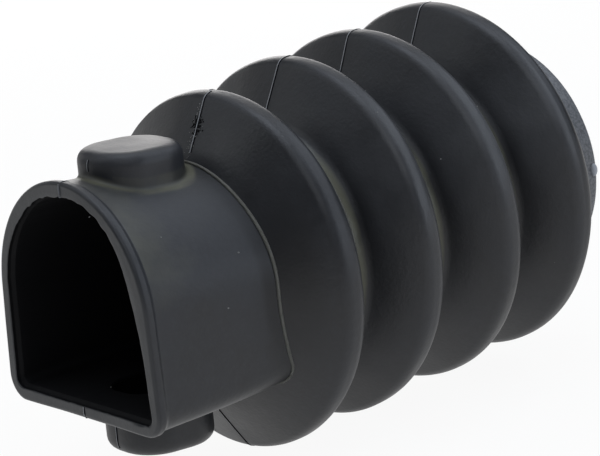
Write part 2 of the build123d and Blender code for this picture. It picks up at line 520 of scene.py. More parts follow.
def lug_outline(sizes, layout, inset, count):
    """Points and outward directions, evenly round a lug's plan, starting at its front on the centre line."""
    half_x, half_y = sizes.lug_length / 2 - inset, sizes.lug_width / 2 - inset
    corner = (sizes.lug_width - sizes.lug_end_flat) / 2 - inset
    fine = rounded_line(
        [(-half_x, 0), (-half_x, half_y), (half_x, half_y), (half_x, -half_y), (-half_x, -half_y), (-half_x, 0)],
        [corner] * 4, PLAN_ARCS, PLAN_RUNS)
    step = np.linalg.norm(np.diff(fine, axis=0), axis=1)
    along = np.concatenate([[0], np.cumsum(step)])
    wanted = np.linspace(0, along[-1], count, endpoint=False)
    place = np.stack([np.interp(wanted, along, fine[:, axis]) for axis in (0, 1)], axis=1)
    ahead = np.roll(place, -1, axis=0) - np.roll(place, 1, axis=0)
    ahead /= np.linalg.norm(ahead, axis=1)[:, None]
    return place + [layout.lug, 0], np.stack([-ahead[:, 1], ahead[:, 0]], axis=1)


def lug_touches(ground, side, foot, away, base):
    """Where the round at a lug's foot touches the ground: how far out, how high, and its centre's height."""
    tries = np.linspace(0, 2 * base, TOUCH_TRIES)
    touches = []
    for start, outward in zip(foot, away):
        heights = np.array([side * ground.point_at(*(start + outward * distance), side)[2] for distance in tries])
        lift = heights + np.sqrt(np.maximum(base ** 2 - (tries - base) ** 2, 0))
        best = int(np.argmax(lift))
        touches.append((tries[best], heights[best], lift[best]))
    return np.array(touches).T


def raise_lug(skin, numbers, grid, ground, window, side, shape):
    """Fills a window of the neck with a lug, or with its pocket: apron, base round, wall, edge and top."""
    outline, outward, reach, edge, base = shape
    front, rear, columns = window
    loop = [(front, column) for column in columns]
    loop += [(row, columns[-1]) for row in range(front + 1, rear)]
    loop += [(rear, column) for column in reversed(columns)]
    loop += [(row, columns[0]) for row in range(rear - 1, front, -1)]
    border = np.array([numbers[place] for place in loop])
    places = np.array([grid[place] for place in loop])
    centre = len(columns) // 2  # the loop's place on the centre line at the front
    order = (np.arange(len(loop)) - centre) * (1 if places[centre + 1][1] > 0 else -1) % len(loop)
    foot, away = outline[order], outward[order]
    out, low, high = lug_touches(ground, side, foot, away, base)
    rings = []
    for share in APRON_SHARES:
        plan = mixed(places[:, :2], foot + away * out[:, None], share)
        rings.append([ground.point_at(x, y, side) for x, y in plan])
    for share in FOOT_SHARES:
        angle = mixed(np.arctan2(low - high, out - base), -pi, share)
        plan = foot + away * (base + base * np.cos(angle))[:, None]
        rings.append(np.column_stack([plan, side * (high + base * np.sin(angle))]))
    for share in WALL_SHARES:
        rings.append(np.column_stack([foot, side * mixed(high, reach - edge, share)]))
    for step in range(1, EDGE_STEPS + 1):
        angle = step / EDGE_STEPS * pi / 2
        ring = foot - away * edge * (1 - cos(angle))
        rings.append(np.column_stack([ring, np.full(len(loop), side * (reach - edge + edge * sin(angle)))]))
    rings.append(np.column_stack([foot - away * (edge + TOP_RIM), np.full(len(loop), side * reach)]))
    inside = skin.marks["inside"][border[0]]
    previous = border
    for ring in rings:
        current = skin.add_points(np.array(ring), inside=inside)
        skin.face_grid(np.array([previous, current]), True)
        previous = current
    fill_loop(skin, previous, len(columns), rear - front + 1, inside)


def fill_loop(skin, loop, across, along, inside):
    """Fills a loop of points with a grid of faces that runs smoothly between its four sides."""
    count = len(loop)
    grid = np.full((along, across), -1)
    grid[0, :] = loop[:across]
    grid[:, -1] = loop[across - 1:across - 1 + along]
    grid[-1, ::-1] = loop[across + along - 2:2 * across + along - 2]
    grid[:, 0] = [loop[0], *loop[count - 1:count - along:-1]]
    where = {number: np.array(skin.points[number]) for number in loop}
    for row in range(1, along - 1):
        v = row / (along - 1)
        for column in range(1, across - 1):
            u = column / (across - 1)
            sides = (where[grid[0, column]] * (1 - v) + where[grid[-1, column]] * v
                     + where[grid[row, 0]] * (1 - u) + where[grid[row, -1]] * u)
            corners = (where[grid[0, 0]] * (1 - u) * (1 - v) + where[grid[0, -1]] * u * (1 - v)
                       + where[grid[-1, 0]] * (1 - u) * v + where[grid[-1, -1]] * u * v)
            grid[row, column] = skin.add_points([sides - corners], inside=inside)[0]
    skin.face_grid(grid, False)


def lug_window(angles, side, arcs, runs):
    """Rows and columns of the neck, between its bead and its root, that make room for a lug."""
    middle = 0.0 if side > 0 else pi
    off = off_from(angles, middle)
    columns = [int(column) for column in np.where(np.abs(off) <= LUG_SPREAD)[0]]
    columns.sort(key=lambda column: off[column])
    return sum(runs[:3]) + sum(arcs[:3]) + 1, sum(runs[:4]) + sum(arcs[:3]), columns


def front_skin(skin, sizes, layout, angles, thicker, swelling):
    """Adds the neck and the front of the first fold, outside and in, and returns the two lip rows."""
    lips = []
    for inner in (0, 1):
        wall, inset = inner * -sizes.neck_wall, inner * sizes.bellows_wall
        arcs, runs = (INNER_ARCS, INNER_RUNS) if inner else (OUTER_ARCS, OUTER_RUNS)
        stations = [
            neck_radii(sizes, layout, layout.mouth, wall + sizes.bead_height, angles),
            neck_radii(sizes, layout, layout.bead_end[inner], wall + sizes.bead_height, angles),
            neck_radii(sizes, layout, layout.neck_start[inner], wall, angles),
            neck_radii(sizes, layout, layout.first_crest, wall, angles) + swelling,
        ]
        lines = np.array([front_column(sizes, layout, radii, inset, inner * thick)
                          for radii, thick in zip(zip(*stations), thicker)]).transpose(1, 0, 2)
        grid = np.stack([lines[:, :, 0], lines[:, :, 1] * np.sin(angles), lines[:, :, 1] * np.cos(angles)], axis=2)
        numbers = skin.add_grid(grid, inside=float(inner))
        ground = Ground(grid, angles, 1 + arcs[0])
        skip = np.zeros(grid.shape[:2], bool)
        shell = inner * sizes.lug_wall
        edge, base = (sizes.lug_pocket_edge_round, POCKET_BASE_ROUND) if inner else (
            sizes.lug_edge_round, sizes.lug_base_round)
        for side in (1, -1):
            front, rear, columns = lug_window(angles, side, arcs, runs)
            skip[np.ix_(range(front, rear), columns[:-1])] = True
            outline, outward = lug_outline(sizes, layout, shell, 2 * (len(columns) + rear - front + 1) - 4)
            raise_lug(skin, numbers, grid, ground, (front, rear, columns), side,
                      (outline, outward, sizes.lug_reach - shell, edge, base))
        skin.face_grid(numbers, True, skip)
        lips.append(numbers[0])
        for row in range(TRIM_ROWS):
            skin.set_mark("cut", numbers[row])
            skin.set_mark("inside", numbers[row], 0.0)
        if not inner:
            skin.set_mark("root", numbers[sum(runs[:4]) + sum(arcs[:3]) + arcs[3] // 2])
    return lips


def join_lip(skin, lips):
    """The flat cut face between the outer and the inner edge of the mouth."""
    outer, inner = lips
    points = np.array(skin.points)
    rows = [outer]
    for share in LIP_SHARES:
        rows.append(skin.add_points(mixed(points[outer], points[inner], share), cut=1.0))
    rows.append(inner)
    skin.face_grid(np.array(rows), True)


# ---- Geometry Nodes ----

BEAD_BUMPS = (240.0, 3.0)  # waves to the metre and detail of the flash's unevenness
BEAD_SIDES = 8
SHADE_LINE_THINNING = (-0.02, 0.02, 0.3, 0.1)  # the painted shadow line beside the seam is thinner above: two heights, and a share of the bead at each
SPECK_SHAPES = ((0.8, 0.8, 0.8), (1.6, 1.4, 1.2))  # smallest and largest, in speck sizes
UNDER, OVER, MIXED = 6, 7, 2  # a mix node's two colours and its result, which share their names with others


def new_tree(name, inputs):
    """A geometry tree with named inputs, each a name, a kind of socket and a default; returns its two ends."""
    tree = bpy.data.node_groups.new(name, "GeometryNodeTree")
    tree.interface.new_socket("Geometry", in_out="INPUT", socket_type="NodeSocketGeometry")
    for label, kind, default in inputs:
        socket = tree.interface.new_socket(label, in_out="INPUT", socket_type="NodeSocket" + kind)
        if default is not None:
            socket.default_value = default
    tree.interface.new_socket("Geometry", in_out="OUTPUT", socket_type="NodeSocketGeometry")
    return tree, tree.nodes.new("NodeGroupInput").outputs, tree.nodes.new("NodeGroupOutput").inputs[0]


def node(tree, kind, sockets=None, **settings):
    """Adds a node, sets it up, and links or sets its inputs by name; a node given as one is its first output."""
    made = tree.nodes.new(kind)
    for name, value in settings.items():
        setattr(made, name, value)
    for name, value in (sockets or {}).items():
        socket = made.inputs[name]
        if isinstance(value, bpy.types.Node):
            value = value.outputs[0]
        if isinstance(value, bpy.types.NodeSocket):
            tree.links.new(value, socket)
        else:
            socket.default_value = value
    return made


def painted(tree, geometry, material):
    """A geometry shaded smooth and given its material."""
    smooth = node(tree, "GeometryNodeSetShadeSmooth", {"Geometry": geometry})
    return node(tree, "GeometryNodeSetMaterial", {"Geometry": smooth, "Material": material}).outputs[0]


def times(tree, value, other):
    return node(tree, "ShaderNodeMath", {0: value, 1: other}, operation="MULTIPLY").outputs[0]


def waves(tree, place, scale, detail, roughness=0.5):
    """Noise of a scale, in waves to the metre."""
    return node(tree, "ShaderNodeTexNoise", {
        "Vector": place, "Scale": scale, "Detail": detail, "Roughness": roughness}).outputs["Fac"]


def laid_out(tree, value, low, high, at_low, at_high):
    """A value between low and high laid out straight between two others, and held there beyond."""
    return node(tree, "ShaderNodeMapRange", {
        "Value": value, "From Min": low, "From Max": high, "To Min": at_low, "To Max": at_high}).outputs[0]


def mark_of(tree, name):
    """The value of one of the skin's marks."""
    return node(tree, "ShaderNodeAttribute", attribute_name=name).outputs["Fac"]


def covered(tree, under, over, share):
    """A colour with a share of another laid over it."""
    mix = node(tree, "ShaderNodeMix", {"Factor": share, UNDER: under, OVER: (*over, 1)}, data_type="RGBA")
    return mix.outputs[MIXED]


def grown(host, tree, values):
    """Runs a tree on an object and returns the result as a plain mesh; the modifier is taken off again."""
    modifier = host.modifiers.new(tree.name, "NODES")
    modifier.node_group = tree
    for item in tree.interface.items_tree:
        if item.in_out == "INPUT" and item.name in values:
            modifier[item.identifier] = values[item.name]
    bpy.context.view_layer.update()
    depsgraph = bpy.context.evaluated_depsgraph_get()
    mesh = bpy.data.meshes.new_from_object(host.evaluated_get(depsgraph), preserve_all_data_layers=True,
                                           depsgraph=depsgraph)
    host.modifiers.remove(modifier)
    return mesh


def fold_stack_tree():
    """One fold repeated along the axis."""
    tree, given, result = new_tree("fold stack", [
        ("Folds", "Int", 3), ("Pitch", "Float", 0.035), ("Start", "Float", 0.0), ("Material", "Material", None)])
    start = node(tree, "ShaderNodeCombineXYZ", {"X": given["Start"]})
    step = node(tree, "ShaderNodeCombineXYZ", {"X": given["Pitch"]})
    line = node(tree, "GeometryNodeMeshLine", {
        "Count": given["Folds"], "Start Location": start, "Offset": step})
    copies = node(tree, "GeometryNodeInstanceOnPoints", {
        "Points": line, "Instance": given["Geometry"]})
    real = node(tree, "GeometryNodeRealizeInstances", {"Geometry": copies})
    welded = node(tree, "GeometryNodeMergeByDistance", {"Geometry": real, "Distance": WELD})
    tree.links.new(painted(tree, welded, given["Material"]), result)
    return tree


def flash_tree(mark):
    """A thin raised line of flash along the marked points of a skin, with a darker line of painted shadow along
    one side.
    """
    tree, given, result = new_tree(mark + " flash", [
        ("Width", "Float", 0.0005), ("Step", "Float", 0.0012), ("Unevenness", "Float", 0.5),
        ("Painted_Shade", "Vector", (0.0, 0.0, 0.0)), ("Sink", "Float", 0.0), ("Material", "Material", None),
        ("Nick Material", "Material", None)])
    outward = node(tree, "GeometryNodeInputNormal")
    inward = node(tree, "ShaderNodeVectorMath", {
        0: outward, "Scale": times(tree, given["Sink"], -1.0)}, operation="SCALE")
    sunk = node(tree, "GeometryNodeSetPosition", {
        "Geometry": given["Geometry"], "Offset": inward})
    marked = node(tree, "GeometryNodeInputNamedAttribute", {"Name": mark}, data_type="FLOAT")
    chosen = node(tree, "FunctionNodeCompare", {"A": marked, "B": 0.5}, operation="GREATER_THAN")
    held = node(tree, "GeometryNodeFieldOnDomain", {0: chosen}, data_type="BOOLEAN", domain="POINT")
    path = node(tree, "GeometryNodeMeshToCurve", {"Mesh": sunk, "Selection": held})
    even = node(tree, "GeometryNodeResampleCurve", {
        "Curve": path, "Length": given["Step"]}, mode="LENGTH")
    place = node(tree, "GeometryNodeInputPosition").outputs[0]
    bumps = waves(tree, place, *BEAD_BUMPS)
    swing = node(tree, "ShaderNodeMath", {0: bumps, 1: 0.5}, operation="SUBTRACT")
    scaled = node(tree, "ShaderNodeMath", {0: swing, 1: given["Unevenness"], 2: 1.0},
                  operation="MULTIPLY_ADD")
    height = node(tree, "ShaderNodeSeparateXYZ", {0: place})
    thinned = laid_out(tree, height.outputs["Z"], *SHADE_LINE_THINNING)
    section = node(tree, "GeometryNodeCurvePrimitiveCircle", {
        "Resolution": BEAD_SIDES, "Radius": times(tree, given["Width"], 0.5)})
    beads = node(tree, "GeometryNodeJoinGeometry")
    uneven = node(tree, "GeometryNodeSetCurveRadius", {"Curve": even, "Radius": scaled})
    thin = node(tree, "GeometryNodeSetCurveRadius", {"Curve": even, "Radius": thinned})
    moved = node(tree, "GeometryNodeSetPosition", {"Geometry": thin, "Offset": given["Painted_Shade"]})
    for curve, material in ((moved, "Nick Material"), (uneven, "Material")):
        bead = node(tree, "GeometryNodeCurveToMesh", {
            "Curve": curve, "Profile Curve": section, "Fill Caps": True})
        tree.links.new(painted(tree, bead, given[material]), beads.inputs[0])
    real = node(tree, "GeometryNodeRealizeInstances", {"Geometry": beads})
    tree.links.new(real.outputs[0], result)
    return tree


def lay_grains(tree, given, result, where, smallest, largest):
    """A grain of its own size on each of the points, all in one painted mesh."""
    grain = node(tree, "GeometryNodeMeshIcoSphere", {"Radius": 0.5, "Subdivisions": 2})
    spread = node(tree, "FunctionNodeRandomValue", {
        "Min": smallest, "Max": largest, "Seed": given["Seed"]}, data_type="FLOAT_VECTOR")
    size = node(tree, "ShaderNodeVectorMath", {0: spread, "Scale": given["Size"]},
                operation="SCALE")
    copies = node(tree, "GeometryNodeInstanceOnPoints", {
        **where, "Instance": grain, "Scale": size})
    real = node(tree, "GeometryNodeRealizeInstances", {"Geometry": copies})
    tree.links.new(painted(tree, real, given["Material"]), result)


def crumb_tree(mark):
    """Crumbs scattered over a skin where it is marked."""
    tree, given, result = new_tree(mark + " crumbs", [
        ("Density", "Float", 1500.0), ("Smallest", "Vector", (0.4, 0.4, 0.2)),
        ("Largest", "Vector", (1.5, 1.0, 0.5)), ("Size", "Float", 0.0004), ("Seed", "Int", 7),
        ("Material", "Material", None)])
    marked = node(tree, "GeometryNodeInputNamedAttribute", {"Name": mark}, data_type="FLOAT")
    spots = node(tree, "GeometryNodeDistributePointsOnFaces", {
        "Mesh": given["Geometry"], "Density": times(tree, marked, given["Density"]),
        "Seed": given["Seed"]})
    spin = node(tree, "FunctionNodeRandomValue", {"Min": (0.0, 0.0, 0.0), "Max": (0.0, 0.0, 2 * pi)},
                data_type="FLOAT_VECTOR")
    facing = node(tree, "FunctionNodeRotateEuler", {
        "Rotation": spots.outputs["Rotation"], "Rotate By": spin}, space="LOCAL")
    lay_grains(tree, given, result, {"Points": spots.outputs["Points"], "Rotation": facing},
               given["Smallest"], given["Largest"])
    return tree


def speck_tree():
    """One speck on each point."""
    tree, given, result = new_tree("set specks", [
        ("Size", "Float", 0.0004), ("Seed", "Int", 7), ("Material", "Material", None)])
    lay_grains(tree, given, result, {"Points": given["Geometry"]}, *SPECK_SHAPES)
    return tree


# ---- How the soft boot lies ----

NECK_BEND = 0.9  # how far ahead of the first crest the neck starts to bend, in fold pitches
SHRINK_SPAN = 0.45  # how far along the axis the shrinking of the first fold spreads, in fold pitches
RIPPLES = ((1.0, 22, Vector((0, 0, 0))), (0.5, 55, Vector((3, 1, 4))))  # share, waves to the metre, and a shift


def eased(x, stations, values):
    """Values that run smoothly from one station to the next."""
    values = np.array(values, float)
    slopes = np.gradient(values, stations, axis=0)
    place = np.clip(np.searchsorted(stations, x) - 1, 0, len(stations) - 2)
    span = stations[place + 1] - stations[place]
    share = np.clip((x - stations[place]) / span, 0, 1)[:, None]
    a, b = values[place], values[place + 1]
    sa, sb = slopes[place] * span[:, None], slopes[place + 1] * span[:, None]
    return (a * (1 + 2 * share) * (1 - share) ** 2 + sa * share * (1 - share) ** 2
            + b * share ** 2 * (3 - 2 * share) - sb * share ** 2 * (1 - share))


def settle(mesh, sizes, wear):
    """Lets the boot lie as soft rubber does, and keeps each point's moulded place as a mark."""
    layout = Layout(sizes)
    count = len(mesh.vertices)
    points = np.zeros(count * 3, np.float32)
    mesh.vertices.foreach_get("co", points)
    points = points.reshape(-1, 3).astype(float)
    mark = mesh.attributes.get("moulded") or mesh.attributes.new("moulded", "FLOAT_VECTOR", "POINT")
    mark.data.foreach_set("vector", points.astype(np.float32).ravel())
    first, last, pitch = layout.first_crest, layout.last_crest, sizes.fold_pitch
    neck_end = first - pitch * NECK_BEND
    leans = eased(points[:, 0], np.array([layout.mouth, neck_end, first, first + pitch, last - pitch, last]),
                  [wear.neck_turn, wear.neck_turn, wear.front_folds_turn, wear.front_folds_turn,
                   wear.rear_folds_turn, wear.rear_folds_turn])
    moves = eased(points[:, 0], np.array([layout.mouth, first, first + pitch, last - pitch, last, 0.0]),
                  [wear.mouth_shift, wear.first_fold_shift, wear.second_fold_shift, wear.third_fold_shift,
                   wear.last_fold_shift, wear.cuff_shift])
    radius = np.hypot(points[:, 1], points[:, 2])
    shrink = near(points[:, 0], first, pitch * SHRINK_SPAN) * wear.first_fold_shrink * ramp(
        radius, sizes.valley_radius, sizes.crest_radius)
    points[:, 1:] *= (1 - shrink / np.maximum(radius, TINY))[:, None]
    arm = points.copy()
    arm[:, 0] = 0.0
    angle = np.linalg.norm(leans, axis=1)[:, None]
    axis = leans / np.maximum(angle, TINY)
    turned_arm = (arm * np.cos(angle) + np.cross(axis, arm) * np.sin(angle)
                  + axis * np.sum(axis * arm, axis=1)[:, None] * (1 - np.cos(angle)))
    points = points - arm + turned_arm + moves
    mesh.vertices.foreach_set("co", points.astype(np.float32).ravel())
    mesh.update()


def ripple(mesh, amount):
    """Gives the moulded skin its slight unevenness."""
    normals = [vertex.normal.copy() for vertex in mesh.vertices]
    for vertex, normal in zip(mesh.vertices, normals):
        wave = sum(share * noise.noise(vertex.co * scale + aside) for share, scale, aside in RIPPLES)
        vertex.co = vertex.co + normal * wave * amount


# ---- Materials ----

# Noises: waves to the metre, detail and, where it isn't the usual half, roughness
CLOUDS = (30.0, 6.0, 0.6)
MOTTLE = (420.0, 4.0, 0.7)
STAINS = (70.0, 4.0)
STIPPLE = (1100.0, 2.0)
BROAD_GRAIN, FINE_GRAIN = (160.0, 3.0), (900.0, 3.0)

# How much a noise does: the values it is read between, and the shares or shifts that they stand for
BLOOM_IN_CLOUDS = (0.38, 0.72, 0.0, 0.55)
BLOOM_IN_MOTTLE = (0.45, 0.8, 0.0, 0.35)
OLIVE_IN_STAINS = (0.12, 0.45, 0.0, 0.85)
CUFF_IN_STIPPLE = (0.35, 0.6, 0.45, 1.0)
ROUGHNESS_READ = (0.3, 0.7)  # values of the clouds between which the roughness swings,
SMOOTHER, ROUGHER = 0.07, 0.09  # and how far down and up
BROAD_SHARE = 1.6  # height of the broad grain against the fine one
GRAIN_STRENGTH, GRAIN_DEPTH = 0.35, 0.0002  # of the fine relief


def new_material(name):
    material = bpy.data.materials.new(name)
    material.use_nodes = True
    tree = material.node_tree
    return material, tree, tree.nodes["Principled BSDF"]


def rubber_material(finish):
    """Moulded black rubber: clouded, faintly bloomed, olive residue in the corners, painted shade low on the
    flanks, dust with a painted highlight higher up, a paler cut lip.
    """
    material, tree, shader = new_material("moulded_rubber")
    place = node(tree, "ShaderNodeAttribute", attribute_name="moulded").outputs["Vector"]
    clouds, mottle = waves(tree, place, *CLOUDS), waves(tree, place, *MOTTLE)
    olive = times(tree, mark_of(tree, "olive"), waves(tree, place, *STAINS))
    stipple = laid_out(tree, waves(tree, place, *STIPPLE), *CUFF_IN_STIPPLE)
    tint = (*finish.rubber, 1)
    # the shadow layer is painted shade low on the flanks; the highlight film is dust with a painted highlight
    for layer, share in (
            (finish.bloom, laid_out(tree, clouds, *BLOOM_IN_CLOUDS)),
            (finish.bloom, laid_out(tree, mottle, *BLOOM_IN_MOTTLE)),
            (finish.shadow, mark_of(tree, "shaded")),
            (finish.highlight_film, times(tree, mark_of(tree, "dust_and_highlight"), clouds)),
            (finish.olive, laid_out(tree, olive, *OLIVE_IN_STAINS)),
            (finish.cuff, times(tree, mark_of(tree, "cuff"), stipple)),
            (finish.cut, mark_of(tree, "cut"))):
        tint = covered(tree, tint, layer, share)
    rough = laid_out(tree, clouds, *ROUGHNESS_READ, finish.roughness - SMOOTHER, finish.roughness + ROUGHER)
    relief = node(tree, "ShaderNodeMath", {
        0: waves(tree, place, *BROAD_GRAIN), 1: BROAD_SHARE, 2: waves(tree, place, *FINE_GRAIN)},
        operation="MULTIPLY_ADD")
    bump = node(tree, "ShaderNodeBump", {
        "Height": relief, "Strength": GRAIN_STRENGTH, "Distance": GRAIN_DEPTH})
    for socket, value in (("Base Color", tint), ("Roughness", rough), ("Normal", bump.outputs[0])):
        tree.links.new(value, shader.inputs[socket])
    shader.inputs["Specular IOR Level"].default_value = 0.5
    return material


def plain_rubber(name, tint, roughness, shine=0.5):
    """A plain finish: the inside of the boot in painted shade, the flash (on the seam with a painted highlight),
    the painted shade beside the seam and in the pits, or the dust.
    """
    material, _, shader = new_material(name)
    shader.inputs["Base Color"].default_value = (*tint, 1)
    shader.inputs["Roughness"].default_value = roughness
    shader.inputs["Specular IOR Level"].default_value = shine
    return material


# ---- Pieces ----

INSIDE_ROUGHNESS, INSIDE_SHINE = 0.7, 0.2  # the unpolished inside takes hardly any shine, and its near-black colour is painted shade
FLASH_ROUGHNESS, RIM_ROUGHNESS, DUST_ROUGHNESS = 0.45, 0.5, 0.8
# of the painted shade beside the seam and in the pits
PAINTED_SHADE_ROUGHNESS, PAINTED_SHADE_SHINE = 0.9, 0.1
SQUARE_DECIMETRES = 100.0  # in a square metre
SHADE_LINE_ASIDE = 0.36  # how far beside the seam its line of painted shadow runs, in seam widths
SEAM_SINK = 0.27  # how deep the seam's bead lies in the skin, in seam widths
ROOT_UNEVENNESS, VALLEY_UNEVENNESS = 1.2, 1.5
VALLEY_FLASH_SHARE = 0.7  # width of the valleys' flash against that of the root's
SCAR_CRUMBS, SCAR_CRUMB_SIZE = 0.1, 0.7  # number and size of crumbs against those of the pits
SEAM_CRUMBS, SEAM_CRUMB_SIZE = 0.12, 0.65
SPECKS = ((-0.1824, -50), (-0.1585, -66), (-0.1664, -88), (-0.1480, -101), (-0.0990, -44), (-0.0742, -64),
          (-0.0426, -47))  # specks that show most: place along the axis, degrees round from the top
PAINTED_GLINTS = ((-0.1832, 0.0046, -0.0289), (-0.1976, -0.0158, 0.0340))  # pale grains in the mouth, painted glints
CAST_FROM = 0.1  # distance from the axis at which the search for a speck's place starts
TAB_TURN = radians(95)  # of the sprue stub, round the cuff from its top
TAB_SETBACK = 0.0017  # of the stub's middle, from the end face
TAB_HALF_SIZES = (0.0015, 0.0023, 0.0011)


def put_in_scene(name, data):
    thing = bpy.data.objects.new(name, data)
    bpy.context.scene.collection.objects.link(thing)
    return thing


def finish_piece(piece):
    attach(piece, BODY)


def fold_stack(sizes, layout, angles, material):
    """All folds between the middles of the first and the last crest, outside and in, as one mesh."""
    fold = Skin()
    for inside, inset in ((0.0, 0.0), (1.0, sizes.bellows_wall)):
        rows = turned(fold_line(sizes, layout, inset), angles)
        fold.face_grid(fold.add_grid(rows, inside=inside), True)
    unit = put_in_scene("fold_unit", fold.to_mesh("fold_unit"))
    folds = grown(unit, fold_stack_tree(), {
        "Folds": sizes.fold_count - 1, "Pitch": sizes.fold_pitch, "Start": layout.first_crest,
        "Material": material})
    bpy.data.objects.remove(unit)
    return folds


def weld_shut(mesh):
    """Joins the strips of a mesh where they meet, and makes sure that they form a closed wall."""
    work = bmesh.new()
    work.from_mesh(mesh)
    bmesh.ops.remove_doubles(work, verts=work.verts, dist=WELD)
    bmesh.ops.recalc_face_normals(work, faces=work.faces)
    loose = [edge for edge in work.edges if not edge.is_manifold]
    if loose:
        raise RuntimeError(f"the skin is open along {len(loose)} edges")
    work.to_mesh(mesh)
    work.free()


def straight_skin(sizes, wear, material):
    """The whole wall of the boot, welded shut, before it settles."""
    layout = Layout(sizes)
    angles = column_angles(atan2(sizes.mouth_floor_width / 2, -sizes.mouth_floor_depth))
    skin = Skin()
    join_lip(skin, front_skin(skin, sizes, layout, angles, lip_thickening(wear, angles),
                              neck_swelling(wear, angles)))
    cuff = skin.add_grid(turned(cuff_line(sizes, layout), angles))
    skin.face_grid(cuff, True)
    for row in cuff[sum(CUFF_RUNS[:4]) + sum(CUFF_ARCS[:3]):]:
        skin.set_mark("inside", row)
    skin.add_mesh(fold_stack(sizes, layout, angles, material))
    mesh = skin.to_mesh("rubber_skin")
    weld_shut(mesh)
    return mesh


# Where the marks lie, in metres
SEAM_SLICE = 4e-6  # points this near to the middle plane lie on the parting line
VALLEY_SLICE = 1e-5  # and points this near to the middle of a valley on its line of flash
SEAM_END = 0.001  # how far short of a lug's ends the bare stretch on its top stops
BARE_EDGE = 0.4  # share of the lug's edge round that is bare as well
NECK_END = 0.003  # how far ahead of the first crest the neck's bare stretch ends
CROWN_DEPTH = 0.0002  # how far behind the mouth the seam across the lip's crown reaches
FLANK_DEPTH = 0.02  # how far ahead of the first crest its front flank is marked,
FLANK_END = 0.001  # and how far ahead of it the scar's marks stop
SHIFT_MARGIN = 0.0005  # how far above the neck's root the seam on that flank is shifted aside
FOOT_STAIN = 0.7  # how high the stain climbs a lug, in radii of its base round
CLOUD_SHARE = 0.48  # olive clouds on the upper neck: how dense,
CLOUD_LENGTH = 0.035  # how far back from the bead they fade out,
CLOUD_HEIGHTS = (-0.01, 0.02)  # and between which heights they come up
TRAIL_ASIDE, TRAIL_SPAN = 0.0007, 0.0009  # how far beside the seam crumbs lie, and how far they spread
TRAIL_TOP, TRAIL_FOOT = 0.004, 0.002  # how far below the crest, and above the neck's root, they lie
CUFF_START = 0.55  # where the stipple starts, as a share of the cuff's reach from the end face,
CUFF_BLEND = 0.004  # and the length over which it comes up
DUST_HIGHLIGHT_START, DUST_HIGHLIGHT_BLEND = 0.006, 0.008  # where settled dust with its painted highlight starts behind the first crest, and comes up
DUST_HIGHLIGHT_END = 0.0005  # how far ahead of the last crest it stops
DUST_HIGHLIGHT_RADII = (0.0445, 0.0495)  # radii between which it comes up
DUST_HIGHLIGHT_TURN, DUST_HIGHLIGHT_SPREAD = radians(64), radians(26)  # where it lies thickest, from the top, and its spread
SHADE_RADII = (0.051, 0.057)  # radii between which the painted shade low on the flanks fades out
SHADE_MARGIN = 0.0005  # how far out from the neck's arch it starts
SHADE_TURN, SHADE_SPREAD = radians(82), radians(34)


class Places:
    """Where each point of the straight skin lies, as arrays that the marks are worked out from."""

    def __init__(self, mesh, sizes):
        layout = Layout(sizes)
        self.points = np.array([vertex.co for vertex in mesh.vertices])
        self.x, self.y, self.z = self.points.T
        self.radius = np.hypot(self.y, self.z)
        self.turn = np.abs(np.arctan2(self.y, self.z))  # from straight up, alike on both sides
        self.outside = np.array(read_mark(mesh, "inside")) < 0.5
        self.folds = (self.x > layout.first_crest) & (self.x < layout.last_crest)
        share = (self.x - layout.mouth) / sizes.neck_reach
        wall = np.where(self.z > 0, sizes.mouth_arch_radius + sizes.mouth_arch_height * (1 - share),
                        mixed(sizes.mouth_floor_depth, sizes.root_floor_depth, share))
        self.above_wall = np.abs(self.z) - wall  # how far above or below the neck's crown and floor


def mark_residue(mesh, at, layout, sizes, wear):
    """Olive residue: in the valleys, round the feet of the lugs, and in clouds on the upper neck."""
    neck_start, foot = layout.neck_start[0], sizes.lug_base_round
    valleys = at.folds * (1 - ramp(at.radius, sizes.valley_radius, sizes.valley_radius + wear.residue_reach))
    feet = near(distance_to_lugs(at.points, sizes, layout), foot, foot) * (at.above_wall < foot * FOOT_STAIN)
    clouds = CLOUD_SHARE * (1 - ramp(at.x, neck_start, neck_start + CLOUD_LENGTH)) * ramp(at.z, *CLOUD_HEIGHTS)
    clouds *= (at.x > neck_start) & (at.above_wall < foot)
    olive = np.maximum.reduce([valleys, feet, clouds])
    write_mark(mesh, "olive", np.where(at.outside & (at.x < layout.last_crest), olive, 0))


def mark_lines(mesh, at, layout, sizes):
    """Lines that flash stands on: the parting seam, its stretch across the lip's crown, and the valleys."""
    lug_tops = (np.abs(at.x - layout.lug) < sizes.lug_length / 2 - SEAM_END) & (
        np.abs(at.z) > sizes.lug_reach - sizes.lug_edge_round * BARE_EDGE)
    plain_neck = (at.x > layout.neck_start[0]) & (at.x < layout.first_crest - NECK_END) & (
        at.above_wall < sizes.lug_base_round)
    crown = (at.x < layout.mouth + CROWN_DEPTH) & (at.z > 0)
    parting = (np.abs(at.y) < SEAM_SLICE) & at.outside
    write_mark(mesh, "seam", parting & ~lug_tops & ~plain_neck & ~crown)
    write_mark(mesh, "crown", parting & crown)
    off_middle = np.abs((at.x - layout.first_crest) / sizes.fold_pitch % 1 - 0.5) * sizes.fold_pitch
    write_mark(mesh, "valley", at.folds & at.outside & (off_middle < VALLEY_SLICE))


def mark_scar(mesh, at, layout, sizes, wear):
    """The torn scar on the front of the first fold, and the trail of crumbs beside the seam there."""
    front = (at.x < layout.first_crest - FLANK_END) & (at.x > layout.first_crest - FLANK_DEPTH) & (
        at.outside & (at.z > 0))
    off_seam = at.y + seam_shift(at.radius, sizes, wear)
    scar = near(np.hypot(off_seam, at.radius - wear.scar_radius), 0, wear.scar_size)
    write_mark(mesh, "scar", np.where(front, scar, 0))
    beside = (at.radius < sizes.crest_radius - TRAIL_TOP) & (at.radius > sizes.root_arch_radius + TRAIL_FOOT)
    write_mark(mesh, "trail", np.where(front & beside, near(off_seam, TRAIL_ASIDE, TRAIL_SPAN), 0))


